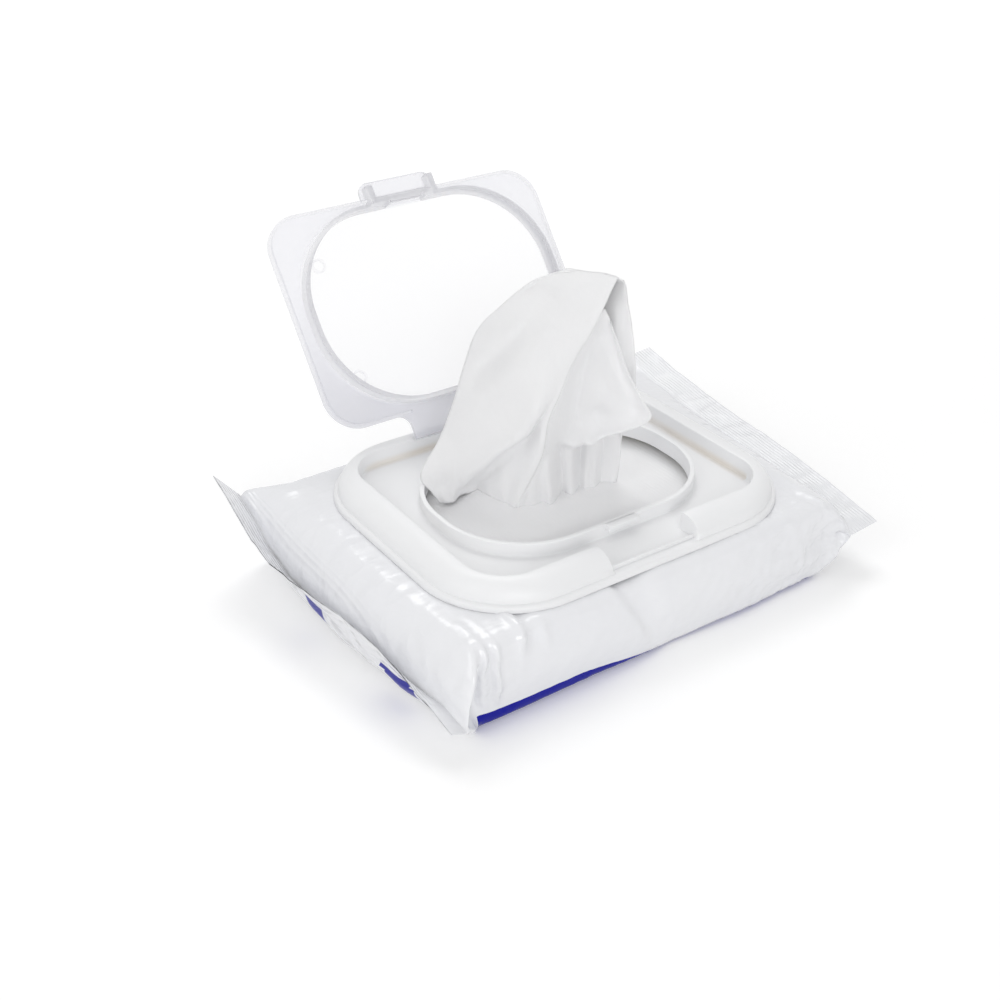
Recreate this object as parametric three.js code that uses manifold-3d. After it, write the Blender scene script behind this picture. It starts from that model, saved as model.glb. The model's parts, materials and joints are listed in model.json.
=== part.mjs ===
// Flow-wrapped packet of wet wipes with a flip-top dispenser, lid open and one wipe pulled up.
// Millimetres, +Z up, the packet lying flat, the latch side facing -Y.
import * as THREE from 'three';
import { mergeVertices } from 'three/addons/utils/BufferGeometryUtils.js';
import Module from 'manifold-3d';

const wasm = await Module();
wasm.setup();

// Film packet
const packetWidth = 89;
const packetHeight = 23.8;
const bodyLength = 125;
const filmWall = 0.6;
const edgeRadius = 3.4;
const sideBulge = 0.9;
const sealWidth = 98;
const sealDepth = 9.5;
const sealThickness = 0.9;
const tuckDepth = 5.5;
const backSealWidth = 12;
const backSealGroove = 0.25;

// Stack of folded wipes
const stackLength = 96;
const foldedWipes = 10;
const stackBulge = 0.8;
const stackClearance = 0.4;
const swellMargin = 2;

// Wipe pulled up through the window
const pulledHeight = 60;
const pulledWidth = 56;
const pulledTurn = 34;
const pulledGap = 0.35;

// Adhesive pad between film and dispenser
const padThickness = 0.4;
const padMargin = 1.4;
const bondGap = 0.25;

// Dispenser base
const baseLength = 100;
const baseWidth = 81.6;
const baseCorner = 23;
const flangeThickness = 0.9;
const flangeLip = 1.1;
const rimHeight = 4.6;
const recessLength = 85.2;
const recessWidth = 68;
const recessCorner = 11;
const latchGap = 26;
const gapRibHeight = 0.9;
const gapRibWidth = 0.8;
const ringLength = 72.4;
const ringWidth = 50.4;
const ringCorner = 23;
const ringWall = 1.3;
const ringHeight = 3.4;
const ringOffset = -1.65;
const lugWidth = 9.4;
const lugReach = 1.7;
const lugDepth = 1.5;

// Lid
const lidThickness = 1;
const lidSideClearance = 0.5;
const lidFrontClearance = 3;
const lidCorner = 9.4;
const skirtHeight = 1.1;
const skirtWall = 0.8;
const neckWidth = 41;
const neckLength = 6.5;
const neckFillet = 3.2;
const hingeClearance = 0.4;
const sealRingWall = 1.2;
const sealRingClearance = 0.8;
const sealRingGap = 0.5;
const openAngle = 128;

// Latch at the front of the lid
const tabWidth = 22.8;
const tabReach = 4.7;
const tabCorner = 3;
const postWidth = 2;
const postDepth = 5.2;
const postHeight = 2.8;
const hookWall = 1;
const hookClearance = 0.3;
const hookBite = 0.3;
const hookNib = 0.6;
const gateMarkRadius = 1.3;
const gateMarkHeight = 0.3;

// Heights and places that follow from the dimensions above
const halfBody = bodyLength / 2;
const padBottom = packetHeight + bondGap;
const flangeBottom = padBottom + padThickness + bondGap;
const deck = flangeBottom + flangeThickness;
const windowLength = ringLength - 2 * ringWall;
const windowWidth = ringWidth - 2 * ringWall;
const windowCorner = ringCorner - ringWall;
const hingeY = recessWidth / 2;
const hingeZ = deck + rimHeight;

const clamp01 = (value) => Math.min(1, Math.max(0, value));
const smooth = (value) => clamp01(value) ** 2 * (3 - 2 * clamp01(value));

// Closed meshes to manifold solids and back
function toSolid(geometry) {
  const bare = geometry.clone();
  bare.deleteAttribute('normal');
  bare.deleteAttribute('uv');
  const merged = mergeVertices(bare, 1e-4);
  const vertProperties = new Float32Array(merged.attributes.position.array);
  const triVerts = new Uint32Array(merged.index.array);
  return new wasm.Manifold(new wasm.Mesh({ numProp: 3, vertProperties, triVerts }));
}

function toGeometry(solid) {
  const mesh = solid.getMesh();
  const geometry = new THREE.BufferGeometry();
  geometry.setAttribute('position', new THREE.BufferAttribute(new Float32Array(mesh.vertProperties), 3));
  geometry.setIndex(new THREE.BufferAttribute(new Uint32Array(mesh.triVerts), 1));
  geometry.computeVertexNormals();
  return geometry;
}

function joined(geometries) {
  return geometries.map(toSolid).reduce((whole, piece) => whole.add(piece));
}

function cutAway(solid, geometries) {
  return geometries.map(toSolid).reduce((whole, piece) => whole.subtract(piece), solid);
}

// A skin through rings of equal point counts, either capped at both ends or closed into a loop
function skin(rings, looped) {
  const count = rings[0].length;
  const positions = rings.flat().flatMap((point) => [point.x, point.y, point.z]);
  const indices = [];
  const bands = looped ? rings.length : rings.length - 1;
  for (let band = 0; band < bands; band += 1) {
    const next = (band + 1) % rings.length;
    for (let step = 0; step < count; step += 1) {
      const a = band * count + step;
      const b = band * count + ((step + 1) % count);
      const c = next * count + ((step + 1) % count);
      const d = next * count + step;
      indices.push(a, b, c, a, c, d);
    }
  }
  if (!looped) {
    addCap(positions, indices, rings[0], 0, true);
    addCap(positions, indices, rings[rings.length - 1], (rings.length - 1) * count, false);
  }
  const geometry = new THREE.BufferGeometry();
  geometry.setAttribute('position', new THREE.Float32BufferAttribute(positions, 3));
  geometry.setIndex(indices);
  return geometry;
}

function addCap(positions, indices, ring, start, reversed) {
  const centre = new THREE.Vector3();
  ring.forEach((point) => centre.addScaledVector(point, 1 / ring.length));
  const hub = positions.length / 3;
  positions.push(centre.x, centre.y, centre.z);
  ring.forEach((point, step) => {
    const here = start + step;
    const next = start + ((step + 1) % ring.length);
    indices.push(...(reversed ? [hub, next, here] : [hub, here, next]));
  });
}

// Outline with every corner rounded, walked counter-clockwise
function roundedOutline(corners) {
  const shape = new THREE.Shape();
  corners.forEach(([x, y, radius], index) => {
    const here = new THREE.Vector2(x, y);
    const [beforeX, beforeY] = corners[(index + corners.length - 1) % corners.length];
    const [afterX, afterY] = corners[(index + 1) % corners.length];
    const back = new THREE.Vector2(beforeX, beforeY).sub(here).normalize();
    const ahead = new THREE.Vector2(afterX, afterY).sub(here).normalize();
    const halfAngle = Math.acos(back.dot(ahead)) / 2;
    const reach = radius / Math.tan(halfAngle);
    const start = here.clone().addScaledVector(back, reach);
    const end = here.clone().addScaledVector(ahead, reach);
    const inward = back.clone().add(ahead).normalize();
    const centre = here.clone().addScaledVector(inward, radius / Math.sin(halfAngle));
    const clockwise = back.x * ahead.y - back.y * ahead.x > 0;
    if (index === 0) shape.moveTo(start.x, start.y);
    else shape.lineTo(start.x, start.y);
    const from = Math.atan2(start.y - centre.y, start.x - centre.x);
    const to = Math.atan2(end.y - centre.y, end.x - centre.x);
    if (radius > 0) shape.absarc(centre.x, centre.y, radius, from, to, clockwise);
  });
  shape.closePath();
  return shape;
}

// The corners of an outline's polygon, without the repeats where lines and arcs meet
function outlinePoints(shape, divisions) {
  const points = shape.getPoints(divisions);
  return points.filter((point, index) => point.distanceTo(points[(index + 1) % points.length]) > 1e-3);
}

function roundedRectangle(length, width, radius, centreY = 0) {
  const limit = Math.min(radius, length / 2 - 0.01, width / 2 - 0.01);
  const halfX = length / 2;
  const halfY = width / 2;
  return roundedOutline([
    [halfX, centreY - halfY, limit],
    [halfX, centreY + halfY, limit],
    [-halfX, centreY + halfY, limit],
    [-halfX, centreY - halfY, limit],
  ]);
}

function plate(shape, bottom, thickness, curveSegments = 12) {
  const geometry = new THREE.ExtrudeGeometry(shape, { depth: thickness, bevelEnabled: false, curveSegments });
  geometry.translate(0, 0, bottom);
  return geometry;
}

function wallRing(length, width, corner, wall, bottom, height, centreY) {
  const outline = roundedRectangle(length, width, corner, centreY);
  const inner = roundedRectangle(length - 2 * wall, width - 2 * wall, corner - wall, centreY);
  outline.holes.push(new THREE.Path(inner.getPoints(12)));
  return plate(outline, bottom, height);
}

function block(xFrom, xTo, yFrom, yTo, zFrom, zTo) {
  const geometry = new THREE.BoxGeometry(xTo - xFrom, yTo - yFrom, zTo - zFrom);
  geometry.translate((xFrom + xTo) / 2, (yFrom + yTo) / 2, (zFrom + zTo) / 2);
  return geometry;
}

function rodAlongX(radius, length, sides = 16) {
  const geometry = new THREE.CylinderGeometry(radius, radius, length, sides);
  geometry.rotateZ(Math.PI / 2);
  return geometry;
}

// The two crimped end seals: where their crimped band lies, how it droops and how its corner stands up
const leftSeal = {
  side: -1,
  height: 17,
  frontDrop: 12,
  backRise: 11.5,
  riseFrom: 18,
  finTilt: 4.5,
  cornerTuck: 9,
  shoulder: 9,
  shoulderPower: 2.5,
  heelLength: 8,
};
const rightSeal = {
  side: 1,
  height: 19.2,
  frontDrop: 7.4,
  backRise: 7,
  riseFrom: 0,
  finTilt: 0.8,
  cornerTuck: 0,
  shoulder: 10,
  shoulderPower: 1.6,
  heelLength: 13,
};

function sealLine(seal, y) {
  const across = (2 * y) / sealWidth;
  const from = (2 * seal.riseFrom) / sealWidth;
  const drop = seal.frontDrop * clamp01(-across) ** 1.4;
  const rise = seal.backRise * clamp01((across - from) / (1 - from)) ** 1.4;
  return seal.height - drop + rise;
}

// Film heights at a place on the packet, pulled in by an inset for the inner skin
function filmTop(x, y, inset) {
  const seal = x < 0 ? leftSeal : rightSeal;
  const fromSeal = halfBody - Math.abs(x);
  const root = sealLine(seal, y) - seal.finTilt + sealThickness / 2;
  const flat = 1 - (1 - clamp01(fromSeal / seal.shoulder)) ** seal.shoulderPower;
  const rise = flat ** (1 / seal.shoulderPower);
  const fin = seal.finTilt * clamp01(-fromSeal / sealDepth);
  return root + (packetHeight - root) * rise + fin - inset;
}

function filmBottom(x, y, inset) {
  const seal = x < 0 ? leftSeal : rightSeal;
  const fromSeal = halfBody - Math.abs(x);
  const root = sealLine(seal, y) - seal.finTilt - sealThickness / 2;
  const fall = Math.sqrt(1 - (1 - clamp01(fromSeal / seal.heelLength)) ** 2);
  const fin = seal.finTilt * clamp01(-fromSeal / sealDepth);
  return root * (1 - fall) + fin + inset;
}

// One cross-section of the film tube, walked round from the front lower corner
function filmSection(x, inset) {
  const fromSeal = halfBody - Math.abs(x);
  const seal = x < 0 ? leftSeal : rightSeal;
  const spread = smooth(1 - fromSeal / 13);
  const halfWidth = packetWidth / 2 + spread * (sealWidth - packetWidth) / 2 - inset;
  const tuck = tuckDepth * smooth(1.5 - fromSeal / 12) * (fromSeal > 0 ? 1 : 0);
  const topSteps = 12;
  const sideSteps = 4;
  const cornerSteps = 3;
  const ring = [];
  const place = (y, share) => {
    const low = filmBottom(x, y, inset);
    const high = filmTop(x, y, inset);
    const skew = seal.cornerTuck * clamp01(-y / halfWidth) ** 2 * clamp01(0.4 - fromSeal / sealDepth * 0.6);
    ring.push(new THREE.Vector3(x - seal.side * skew, y, low + (high - low) * share));
  };
  const depth = filmTop(x, 0, inset) - filmBottom(x, 0, inset);
  const radius = Math.min(edgeRadius, depth / 2 - 0.02);
  const share = radius / depth;
  for (let step = 0; step <= topSteps; step += 1) {
    place((halfWidth - radius) * ((2 * step) / topSteps - 1), 0);
  }
  const addSide = (direction) => {
    for (let step = 1; step <= cornerSteps; step += 1) {
      const angle = (step / cornerSteps) * (Math.PI / 2);
      const low = direction > 0 ? share * (1 - Math.cos(angle)) : 1 - share * (1 - Math.cos(angle));
      place(direction * (halfWidth - radius * (1 - Math.sin(angle))), low);
    }
    for (let step = 1; step <= sideSteps; step += 1) {
      const along = step / (sideSteps + 1);
      const up = share + (1 - 2 * share) * along;
      const fold = 1 - Math.abs(2 * along - 1);
      const swell = sideBulge * Math.sin(Math.PI * along) * clamp01(fromSeal / 13);
      place(direction * (halfWidth + swell - tuck * fold), direction > 0 ? up : 1 - up);
    }
    for (let step = 0; step < cornerSteps; step += 1) {
      const angle = (step / cornerSteps) * (Math.PI / 2);
      const high = direction > 0 ? 1 - share * (1 - Math.sin(angle)) : share * (1 - Math.sin(angle));
      place(direction * (halfWidth - radius * (1 - Math.cos(angle))), high);
    }
  };
  addSide(1);
  for (let step = topSteps; step >= 0; step -= 1) {
    place((halfWidth - radius) * ((2 * step) / topSteps - 1), 1);
  }
  addSide(-1);
  return ring;
}

function filmStations(offsets) {
  const half = [...offsets, 30, halfBody - 10].map((offset) => halfBody - offset);
  return [...half.map((x) => -x), ...half.slice().reverse()];
}

function filmPouch() {
  const crimps = [-sealDepth, -sealDepth * 0.66, -sealDepth * 0.33, 0, 1];
  const shoulders = [2.6, 5, 8.5, 13, 18];
  const outer = skin(filmStations([...crimps, ...shoulders]).map((x) => filmSection(x, 0)), false);
  const inner = skin(filmStations(shoulders).map((x) => filmSection(x, filmWall)), false);
  const opening = roundedRectangle(windowLength, windowWidth, windowCorner, ringOffset);
  const edge = backSealWidth / 2;
  const grooveFrom = -halfBody + leftSeal.heelLength;
  const grooveTo = halfBody - rightSeal.heelLength;
  const grooves = [-edge, edge].map((y) => block(grooveFrom, grooveTo, y - 0.2, y + 0.2, -1, backSealGroove));
  const shell = toSolid(outer).subtract(toSolid(inner));
  return cutAway(shell, [plate(opening, packetHeight - filmWall - 0.5, filmWall + 2), ...grooves]);
}

// Interfolded wipes: each is a layer with a rounded folded edge, the top one swelling into the window
function wipeStack() {
  const bottom = filmWall + stackClearance;
  const top = packetHeight - filmWall - stackClearance;
  const layer = (top - bottom) / foldedWipes;
  const halfX = stackLength / 2;
  const halfY = packetWidth / 2 - filmWall - stackClearance - 0.6;
  const outline = (shrink, z) =>
    outlinePoints(roundedRectangle(2 * (halfX - shrink), 2 * (halfY - shrink), 5), 3)
      .map((point) => new THREE.Vector3(point.x, point.y, z));
  const rings = [outline(edgeRadius * 0.6, bottom)];
  for (let index = 0; index < foldedWipes; index += 1) {
    const outerMost = index === 0 || index === foldedWipes - 1 ? edgeRadius * 0.25 : 0;
    rings.push(outline(outerMost, bottom + layer * (index + 0.3)));
    rings.push(outline(outerMost, bottom + layer * (index + 0.7)));
    if (index < foldedWipes - 1) rings.push(outline(0.5 + outerMost, bottom + layer * (index + 1)));
  }
  rings.push(outline(edgeRadius * 0.6, top));
  const swellStart = top - 0.2;
  const swellAt = (share, rise) => {
    const length = (windowLength - 2 * swellMargin) * share;
    const width = (windowWidth - 2 * swellMargin) * share;
    const edge = roundedRectangle(length, width, windowCorner * 0.85 * share, ringOffset);
    const z = swellStart + (top + stackBulge - swellStart) * rise;
    return outlinePoints(edge, 6).map((point) => new THREE.Vector3(point.x, point.y, z));
  };
  const swell = [swellAt(1, 0), swellAt(0.85, 0.5), swellAt(0.6, 0.85), swellAt(0.3, 1)];
  const sunk = swell[0].map((point) => point.clone().setZ(top - 1));
  return toSolid(skin(rings, false)).add(toSolid(skin([sunk, ...swell], false)));
}

// The pulled wipe seen square on: left and right edges of its outline at each height above the deck
const wipeTurn = THREE.MathUtils.degToRad(-pulledTurn);
const wipeAcross = new THREE.Vector2(Math.cos(wipeTurn), Math.sin(wipeTurn));
const wipeAway = new THREE.Vector2(-wipeAcross.y, wipeAcross.x);

function wipeEdges(rise) {
  const left = new THREE.SplineCurve([
    new THREE.Vector2(-0.41, -0.02),
    new THREE.Vector2(-0.48, 0.05),
    new THREE.Vector2(-0.59, 0.12),
    new THREE.Vector2(-0.53, 0.26),
    new THREE.Vector2(-0.44, 0.48),
    new THREE.Vector2(-0.35, 0.73),
    new THREE.Vector2(-0.13, 0.93),
    new THREE.Vector2(0, 1),
  ]);
  const right = new THREE.SplineCurve([
    new THREE.Vector2(0.27, -0.02),
    new THREE.Vector2(0.28, 0.09),
    new THREE.Vector2(0.28, 0.21),
    new THREE.Vector2(0.39, 0.33),
    new THREE.Vector2(0.34, 0.5),
    new THREE.Vector2(0.32, 0.7),
    new THREE.Vector2(0.27, 0.9),
    new THREE.Vector2(0.22, 1),
  ]);
  const at = (curve) => {
    const points = curve.getPoints(80);
    const found = points.find((point) => point.y >= rise) ?? points[points.length - 1];
    return found.x * pulledWidth;
  };
  return [at(left), at(right)];
}

function pulledWipe() {
  const floor = packetHeight - filmWall - stackClearance + stackBulge + pulledGap;
  const levels = [0, 0.045, 0.09, 0.13, 0.2, 0.3, 0.42, 0.56, 0.7, 0.83, 0.93, 1];
  const sides = 15;
  const rings = levels.map((rise) => {
    const [left, right] = wipeEdges(rise);
    const height = floor + rise * (deck + pulledHeight - floor);
    const full = 1.6 + 6.5 * Math.sin(Math.PI * clamp01(rise * 0.8 + 0.12));
    const crease = 0.4 + 0.45 * rise;
    const hood = smooth((rise - 0.16) / 0.12) * smooth((0.92 - rise) / 0.2);
    const ring = [];
    for (let step = 0; step <= sides; step += 1) {
      const along = step / sides;
      const round = Math.sin(Math.PI * along) ** 0.7;
      const ridge = 2.2 * Math.exp(-(((along - crease) / 0.07) ** 2));
      const hollow = 6.5 * hood * Math.exp(-(((along - crease - 0.17) / 0.09) ** 2));
      const gather = 0.5 * (1 - rise) * Math.cos(9 * Math.PI * along);
      ring.push([left + (right - left) * along, -(full * round + ridge * round - hollow + gather * round)]);
    }
    for (let step = sides - 1; step > 0; step -= 1) {
      const along = step / sides;
      const round = Math.sin(Math.PI * along) ** 0.7;
      ring.push([left + (right - left) * along, (0.6 * full + 0.8 * Math.cos(5 * Math.PI * along)) * round + 0.8]);
    }
    return ring.map(([across, away]) => {
      const spot = wipeAcross.clone().multiplyScalar(across).addScaledVector(wipeAway, away);
      return new THREE.Vector3(spot.x, spot.y, height);
    });
  });
  return toSolid(skin(rings, false));
}

function adhesivePad() {
  const outline = roundedRectangle(
    baseLength - 2 * padMargin, baseWidth - 2 * padMargin, baseCorner - padMargin);
  const hole = roundedRectangle(windowLength + 2 * padMargin, windowWidth + 2 * padMargin,
    windowCorner + padMargin, ringOffset);
  outline.holes.push(new THREE.Path(hole.getPoints(12)));
  return toSolid(plate(outline, padBottom, padThickness));
}

// Raised rim: a steep inner wall, a top that slopes outwards and rounds down to the flange
function baseRim() {
  const shares = [0, 0.12, 0.35, 0.6, 0.8, 0.92, 1];
  const outlineAt = (share) => {
    const length = recessLength + (baseLength - recessLength) * share;
    const width = recessWidth + (baseWidth - recessWidth) * share;
    const corner = recessCorner + (baseCorner - recessCorner) * share;
    return outlinePoints(roundedRectangle(length, width, corner), 8);
  };
  const ringAt = (share, z) => outlineAt(share).map((point) => new THREE.Vector3(point.x, point.y, z));
  const foot = flangeBottom + flangeThickness / 2;
  const crown = shares.map((share) => ringAt(share, deck + rimHeight * (1 - share ** 2.2) ** 0.6));
  const rings = [ringAt(0, foot), ...crown, ringAt(1, foot)];
  return skin(rings.reverse(), true);
}

function dispenserBase() {
  const flange = roundedRectangle(
    baseLength + 2 * flangeLip, baseWidth + 2 * flangeLip, baseCorner + flangeLip);
  const opening = roundedRectangle(windowLength, windowWidth, windowCorner, ringOffset);
  flange.holes.push(new THREE.Path(opening.getPoints(12)));
  const ringFoot = deck - flangeThickness / 2;
  const ringRise = deck + ringHeight - ringFoot;
  const ring = wallRing(ringLength, ringWidth, ringCorner, ringWall, ringFoot, ringRise, ringOffset);
  const ringFront = ringOffset - ringWidth / 2;
  const lug = block(-lugWidth / 2, lugWidth / 2, ringFront - lugReach, ringFront + ringWall / 2,
    deck + ringHeight - lugDepth, deck + ringHeight);
  const ribY = -(recessWidth + baseWidth) / 4 - 1.5;
  const rib = block(-latchGap / 2 - 1, latchGap / 2 + 1, ribY - gapRibWidth / 2, ribY + gapRibWidth / 2,
    ringFoot, deck + gapRibHeight);
  const gapCut = block(-latchGap / 2, latchGap / 2, -baseWidth / 2 - 1, -recessWidth / 2 + 1,
    deck, deck + rimHeight + 1);
  const hingeSeat = rodAlongX(lidThickness / 2 + hingeClearance, neckWidth + 4 * hingeClearance);
  hingeSeat.translate(0, hingeY, hingeZ);
  const rim = cutAway(toSolid(baseRim()), [gapCut, hingeSeat]);
  return rim.add(joined([plate(flange, flangeBottom, flangeThickness), ring, lug, rib]));
}

// The lid is drawn closed, its hinge axis along X through the origin, reaching towards -Y
function lid() {
  const halfThickness = lidThickness / 2;
  const halfWidth = recessLength / 2 - lidSideClearance;
  const far = recessWidth - lidFrontClearance;
  const halfNeck = neckWidth / 2;
  const outline = roundedOutline([
    [-halfNeck, 0, 0],
    [-halfNeck, -neckLength, neckFillet],
    [-halfWidth, -neckLength, lidCorner],
    [-halfWidth, -far, lidCorner],
    [halfWidth, -far, lidCorner],
    [halfWidth, -neckLength, lidCorner],
    [halfNeck, -neckLength, neckFillet],
    [halfNeck, 0, 0],
  ]);
  const panel = plate(outline, -halfThickness, lidThickness);
  const bead = rodAlongX(halfThickness, neckWidth);
  const skirtY = -(far + neckLength) / 2;
  const skirt = wallRing(2 * halfWidth, far - neckLength, lidCorner, skirtWall, -halfThickness - skirtHeight,
    skirtHeight + halfThickness, skirtY);
  const ringCentre = ringOffset - hingeY;
  const grow = 2 * (sealRingClearance + sealRingWall);
  const ringBottom = sealRingGap - rimHeight;
  const sealRing = wallRing(ringLength + grow, ringWidth + grow, ringCorner + grow / 2,
    sealRingWall, ringBottom, -ringBottom, ringCentre);
  const lugFace = ringCentre - ringWidth / 2 - lugReach;
  const notch = block(-lugWidth / 2 - 1, lugWidth / 2 + 1, lugFace - hookClearance, lugFace + lugReach + 0.5,
    ringBottom - 1, -halfThickness);
  const neckCut = block(-halfNeck + 1, halfNeck - 1, -neckLength - skirtWall - 1, 1,
    -halfThickness - skirtHeight - 1, -halfThickness);
  const body = cutAway(joined([panel, bead, skirt, sealRing]), [notch, neckCut]);
  return body.add(latch(far, lugFace)).add(gateMarks(far, halfWidth));
}

function latch(far, lugFace) {
  const halfThickness = lidThickness / 2;
  const tabFrom = far - tabReach;
  const tab = plate(roundedOutline([
    [-tabWidth / 2, -tabFrom, 0],
    [-tabWidth / 2, -far - tabReach, tabCorner],
    [tabWidth / 2, -far - tabReach, tabCorner],
    [tabWidth / 2, -tabFrom, 0],
  ]), -halfThickness, lidThickness);
  const hookFront = lugFace - hookClearance - hookWall;
  const hookBottom = ringHeight - rimHeight - lugDepth - hookClearance - hookNib;
  const posts = [-1, 1].map((side) => {
    const inner = side * (tabWidth / 2 - postWidth - 1);
    const outer = side * (tabWidth / 2 - 1);
    return block(Math.min(inner, outer), Math.max(inner, outer),
      hookFront + hookWall - postDepth, hookFront + hookWall, -halfThickness - postHeight, halfThickness);
  });
  const span = tabWidth / 2 - 1.5;
  const bar = block(-span, span, hookFront, hookFront + hookWall, hookBottom, halfThickness);
  const nib = block(-lugWidth / 2, lugWidth / 2, hookFront, hookFront + hookWall + hookClearance + hookBite,
    hookBottom, hookBottom + hookNib);
  return joined([tab, ...posts, bar, nib]);
}

function gateMarks(far, halfWidth) {
  const places = [far * 0.3, far * 0.78];
  const discs = places.map((along) => {
    const height = gateMarkHeight + lidThickness / 2;
    const disc = new THREE.CylinderGeometry(gateMarkRadius, gateMarkRadius, height, 20);
    disc.rotateX(Math.PI / 2);
    disc.translate(-halfWidth * 0.71, -along, -height / 2 - lidThickness / 4);
    return disc;
  });
  return joined(discs);
}

// Materials
const film = new THREE.MeshStandardMaterial({ color: 0xe9ebf0, roughness: 0.32, metalness: 0 });
const wipeCloth = new THREE.MeshStandardMaterial({ color: 0xf2f2f3, roughness: 0.95, metalness: 0 });
const adhesive = new THREE.MeshStandardMaterial({ color: 0xe6e2d2, roughness: 0.7, metalness: 0 });
const milkyPlastic = new THREE.MeshStandardMaterial({ color: 0xeceef3, roughness: 0.45, metalness: 0 });
const clearPlastic = new THREE.MeshStandardMaterial({
  color: 0xe4e5f0, roughness: 0.25, metalness: 0, transparent: true, opacity: 0.55,
});

function named(name, solid, material) {
  const mesh = new THREE.Mesh(toGeometry(solid), material);
  mesh.name = name;
  return mesh;
}

const packet = new THREE.Group();
packet.add(named('film_pouch', filmPouch(), film));
packet.add(named('wipe_stack', wipeStack(), wipeCloth));
packet.add(named('pulled_wipe', pulledWipe(), wipeCloth));
packet.add(named('adhesive_pad', adhesivePad(), adhesive));
packet.add(named('dispenser_base', dispenserBase(), milkyPlastic));

const lidMesh = named('lid', lid(), clearPlastic);
lidMesh.position.set(0, hingeY, hingeZ);
lidMesh.rotation.x = -THREE.MathUtils.degToRad(openAngle);
packet.add(lidMesh);

// The origin sits on the ground under the middle of the whole object
packet.updateMatrixWorld(true);
const bounds = new THREE.Box3().setFromObject(packet, true);
packet.position.set(-(bounds.min.x + bounds.max.x) / 2, -(bounds.min.y + bounds.max.y) / 2, -bounds.min.z);
packet.updateMatrixWorld(true);

export default packet;
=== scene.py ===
import math
import bpy
import bmesh
import numpy as np
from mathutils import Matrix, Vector, noise
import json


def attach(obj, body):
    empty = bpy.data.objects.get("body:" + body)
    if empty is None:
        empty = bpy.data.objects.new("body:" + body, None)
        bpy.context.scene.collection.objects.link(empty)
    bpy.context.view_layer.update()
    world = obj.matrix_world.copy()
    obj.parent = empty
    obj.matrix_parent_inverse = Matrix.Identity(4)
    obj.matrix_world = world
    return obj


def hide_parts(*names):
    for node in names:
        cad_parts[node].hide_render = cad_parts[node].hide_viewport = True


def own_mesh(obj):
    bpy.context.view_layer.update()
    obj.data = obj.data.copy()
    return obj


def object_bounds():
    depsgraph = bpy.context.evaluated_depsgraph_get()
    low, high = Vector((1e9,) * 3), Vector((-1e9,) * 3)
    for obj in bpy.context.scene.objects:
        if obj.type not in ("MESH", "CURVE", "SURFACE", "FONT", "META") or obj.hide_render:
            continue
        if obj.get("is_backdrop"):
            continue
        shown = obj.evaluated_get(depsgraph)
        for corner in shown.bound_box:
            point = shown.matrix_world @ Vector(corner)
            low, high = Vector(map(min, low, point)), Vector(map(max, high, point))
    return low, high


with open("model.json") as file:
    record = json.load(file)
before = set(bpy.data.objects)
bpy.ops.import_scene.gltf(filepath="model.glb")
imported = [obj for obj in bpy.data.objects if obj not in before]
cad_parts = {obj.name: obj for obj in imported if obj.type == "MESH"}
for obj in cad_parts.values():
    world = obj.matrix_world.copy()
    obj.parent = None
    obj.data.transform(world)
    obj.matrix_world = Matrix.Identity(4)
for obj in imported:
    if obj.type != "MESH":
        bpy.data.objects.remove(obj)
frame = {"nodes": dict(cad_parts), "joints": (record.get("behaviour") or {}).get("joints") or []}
cad_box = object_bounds()
nodes = frame["nodes"]

# Sizes shared with the solids, in millimetres
PACKET_WIDTH = 89.0
PACKET_HEIGHT = 23.8
EDGE_RADIUS = 3.4
SIDE_BULGE = 0.9
SEAL_WIDTH = 98.0
STACK_LENGTH = 96.0
STACK_WIDTH = 85.8
STACK_BOTTOM = 1.0
STACK_TOP = PACKET_HEIGHT - 1.0
STACK_LAYERS = 20
DECK = 25.6
FLANGE = 0.9
FLANGE_LIP = 1.1
RIM_HEIGHT = 4.6
BASE = (100.0, 81.6, 23.0)
RECESS = (85.2, 68.0, 11.0)
RING = (72.4, 50.4, 23.0)
RING_WALL = 1.3
RING_HEIGHT = 3.4
RING_OFFSET = -1.65

# The frame's origin is under the middle of the whole object, which lies behind the packet's middle
SHIFT = -14.1528

# The two ends of the packet. At the seal: its height in the middle, the drop to the front corner and that
# curve's power (fall), the rise to the back corner and where it starts, the upright part (tilt), the side
# tuck, the pull on the front corner, the flare and the lean. Along the packet: where the seal starts (half),
# its run, and the lengths over which the top (shoulder, with its power) and the bottom (heel) come to it.
LEFT = dict(side=-1, height=17.2, drop=9.6, fall=2.3, rise=11.5, rise_from=18.0, tilt=7.0, tuck=5.5,
            corner=9.0, flare=4.0, shoulder=13.0, power=2.3, heel=11.0, half=66.0, run=6.0, lean=3.5)
RIGHT = dict(side=1, height=19.2, drop=7.4, fall=1.4, rise=7.0, rise_from=0.0, tilt=0.8, tuck=3.0,
             corner=0.0, flare=1.0, shoulder=10.0, power=1.6, heel=13.0, half=62.5, run=9.5, lean=0.0)


def clamp01(value):
    return min(1.0, max(0.0, value))


def smooth(value):
    v = clamp01(value)
    return v * v * (3 - 2 * v)


def bump_at(value, centre, width):
    return math.exp(-((value - centre) / width) ** 2)


def make_object(name, points, faces, body, smooth_angle=None):
    mesh = bpy.data.meshes.new(name)
    mesh.from_pydata([(x / 1000, (y + SHIFT) / 1000, z / 1000) for x, y, z in points], [], faces)
    mesh.update()
    obj = bpy.data.objects.new(name, mesh)
    bpy.context.scene.collection.objects.link(obj)
    for poly in mesh.polygons:
        poly.use_smooth = True
    if smooth_angle is not None:
        mesh.set_sharp_from_angle(angle=math.radians(smooth_angle))
    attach(obj, body)
    return obj


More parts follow.
